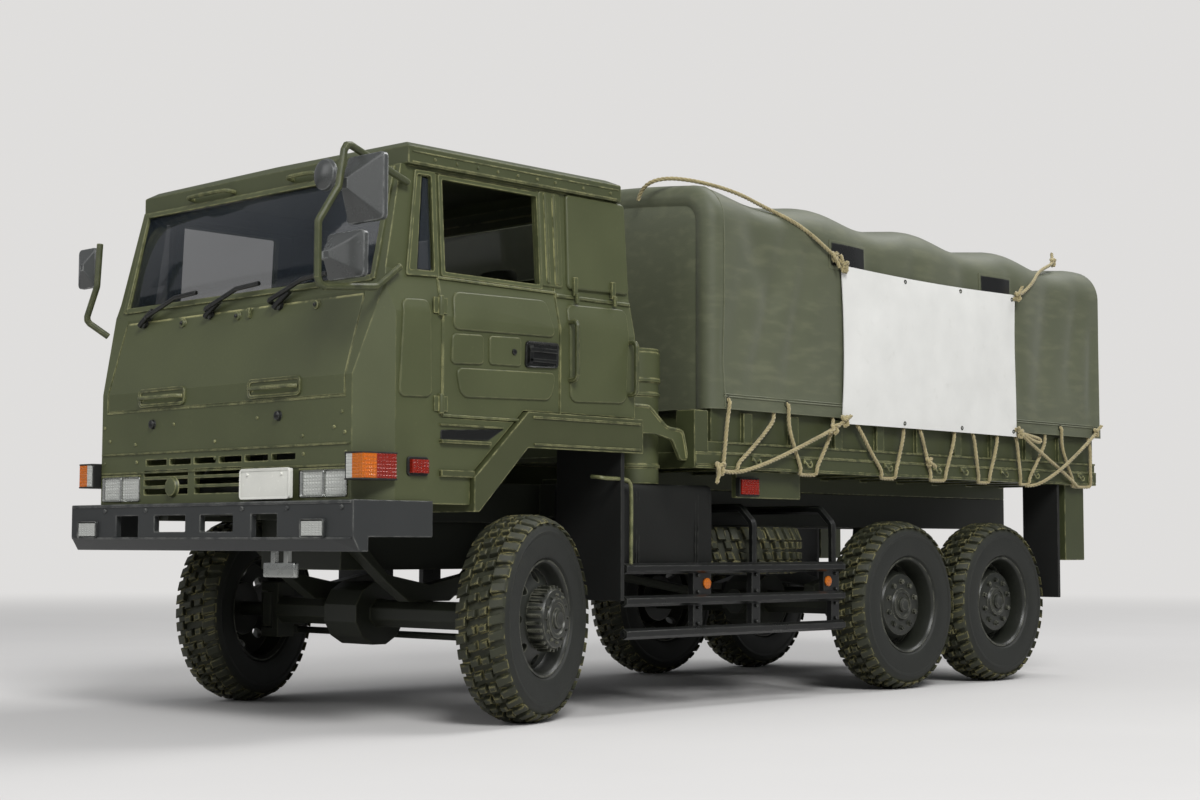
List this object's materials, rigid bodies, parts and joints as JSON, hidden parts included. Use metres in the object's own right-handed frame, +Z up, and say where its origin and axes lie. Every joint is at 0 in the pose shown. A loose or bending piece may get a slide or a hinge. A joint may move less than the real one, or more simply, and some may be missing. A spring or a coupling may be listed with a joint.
{
  "type": "scale model military cargo truck",
  "caption": "Scale model of a cab-over military cargo truck on six wheels, with a canvas canopy over its cargo bed and a blank banner on one side.",
  "frame": {"origin": "on the ground below the middle of the outer box", "axes": "+Z up, the cab faces -Y, the truck's left side is +X"},
  "size_m": [0.0825, 0.2108, 0.0884],
  "materials": {
    "banner_white": "matt",
    "black": "satin",
    "cab_green": "matt",
    "canvas": "matt",
    "dark_green": "matt",
    "glass": "clear",
    "lamp_amber": "gloss",
    "lamp_clear": "gloss",
    "mirror": "gloss",
    "plate_white": "matt",
    "rim": "satin",
    "rubber": "matt",
    "seat": "matt",
    "tyre": "matt"
  },
  "bodies": {
    "chassis": {"air_intake": "cab_green", "banner": "banner_white", "cab_glass": "glass", "cab_roof": "cab_green", "cab_shell": "cab_green", "canopy": "canvas", "canopy_bows": "dark_green", "cargo_bed": "cab_green", "chassis_frame": "dark_green", "clear_lamps": "lamp_clear", "covered_box": "black", "dashboard": "black", "door_left": "cab_green", "door_right": "cab_green", "drive_shafts": "dark_green", "engine_block": "dark_green", "front_axle": "dark_green", "front_bumper": "black", "front_fenders": "cab_green", "front_lid": "cab_green", "fuel_tank": "dark_green", "grab_handles": "black", "head_board": "cab_green", "leaf_springs": "dark_green", "mirror_stays": "cab_green", "mirrors": "mirror", "mud_flaps": "rubber", "number_plate": "plate_white", "rear_axles": "dark_green", "seats": "seat", "side_board_left": "cab_green", "side_board_right": "cab_green", "side_guards": "black", "signal_lamps": "lamp_amber", "spare_rim": "rim", "spare_tyre": "tyre", "steering_wheel": "black", "tail_lamps": "lamp_amber", "tailgate": "cab_green", "tow_hook": "dark_green", "transfer_case": "dark_green", "wipers": "black"},
    "knuckle_left": {"knuckle_left": "dark_green"},
    "knuckle_right": {"knuckle_right": "dark_green"},
    "tie_rod": {"tie_rod": "dark_green"},
    "wheel_front_left": {"tyre_front_left": "tyre", "rim_front_left": "rim"},
    "wheel_front_right": {"tyre_front_right": "tyre", "rim_front_right": "rim"},
    "wheel_rear_fore_left": {"tyre_rear_fore_left": "tyre", "rim_rear_fore_left": "rim"},
    "wheel_rear_fore_right": {"tyre_rear_fore_right": "tyre", "rim_rear_fore_right": "rim"},
    "wheel_rear_aft_left": {"tyre_rear_aft_left": "tyre", "rim_rear_aft_left": "rim"},
    "wheel_rear_aft_right": {"tyre_rear_aft_right": "tyre", "rim_rear_aft_right": "rim"}
  },
  "joints": [
    {"name": "steer_left", "type": "hinge", "parent": "chassis", "child": "knuckle_left", "pos_m": [0.02718, -0.0646, 0.0154], "axis": [0, 0, 1], "range_deg": [-47, 9]},
    {"name": "steer_right", "type": "hinge", "parent": "chassis", "child": "knuckle_right", "pos_m": [-0.02718, -0.0646, 0.0154], "axis": [0, 0, 1], "range_deg": [-47, 9]},
    {"name": "tie_rod_pivot", "type": "hinge", "parent": "knuckle_left", "child": "tie_rod", "pos_m": [0.02474, -0.05751, 0.012], "axis": [0, 0, 1], "range_deg": [-9, 47]},
    {"name": "spin_front_left", "type": "hinge", "parent": "knuckle_left", "child": "wheel_front_left", "pos_m": [0.0321, -0.06291, 0.0154], "axis": [0.9455, 0.3256, 0], "continuous": true},
    {"name": "spin_rear_fore_left", "type": "hinge", "parent": "chassis", "child": "wheel_rear_fore_left", "pos_m": [0.0299, 0.0347, 0.0154], "axis": [1, 0, 0], "continuous": true},
    {"name": "spin_rear_aft_left", "type": "hinge", "parent": "chassis", "child": "wheel_rear_aft_left", "pos_m": [0.0299, 0.0668, 0.0154], "axis": [1, 0, 0], "continuous": true},
    {"name": "spin_front_right", "type": "hinge", "parent": "knuckle_right", "child": "wheel_front_right", "pos_m": [-0.0321, -0.06629, 0.0154], "axis": [0.9455, 0.3256, 0], "continuous": true},
    {"name": "spin_rear_fore_right", "type": "hinge", "parent": "chassis", "child": "wheel_rear_fore_right", "pos_m": [-0.0299, 0.0347, 0.0154], "axis": [1, 0, 0], "continuous": true},
    {"name": "spin_rear_aft_right", "type": "hinge", "parent": "chassis", "child": "wheel_rear_aft_right", "pos_m": [-0.0299, 0.0668, 0.0154], "axis": [1, 0, 0], "continuous": true}
  ],
  "couplings": [
    {"joint": "steer_right", "follows": "steer_left", "ratio": 1},
    {"joint": "tie_rod_pivot", "follows": "steer_left", "ratio": -1}
  ]
}
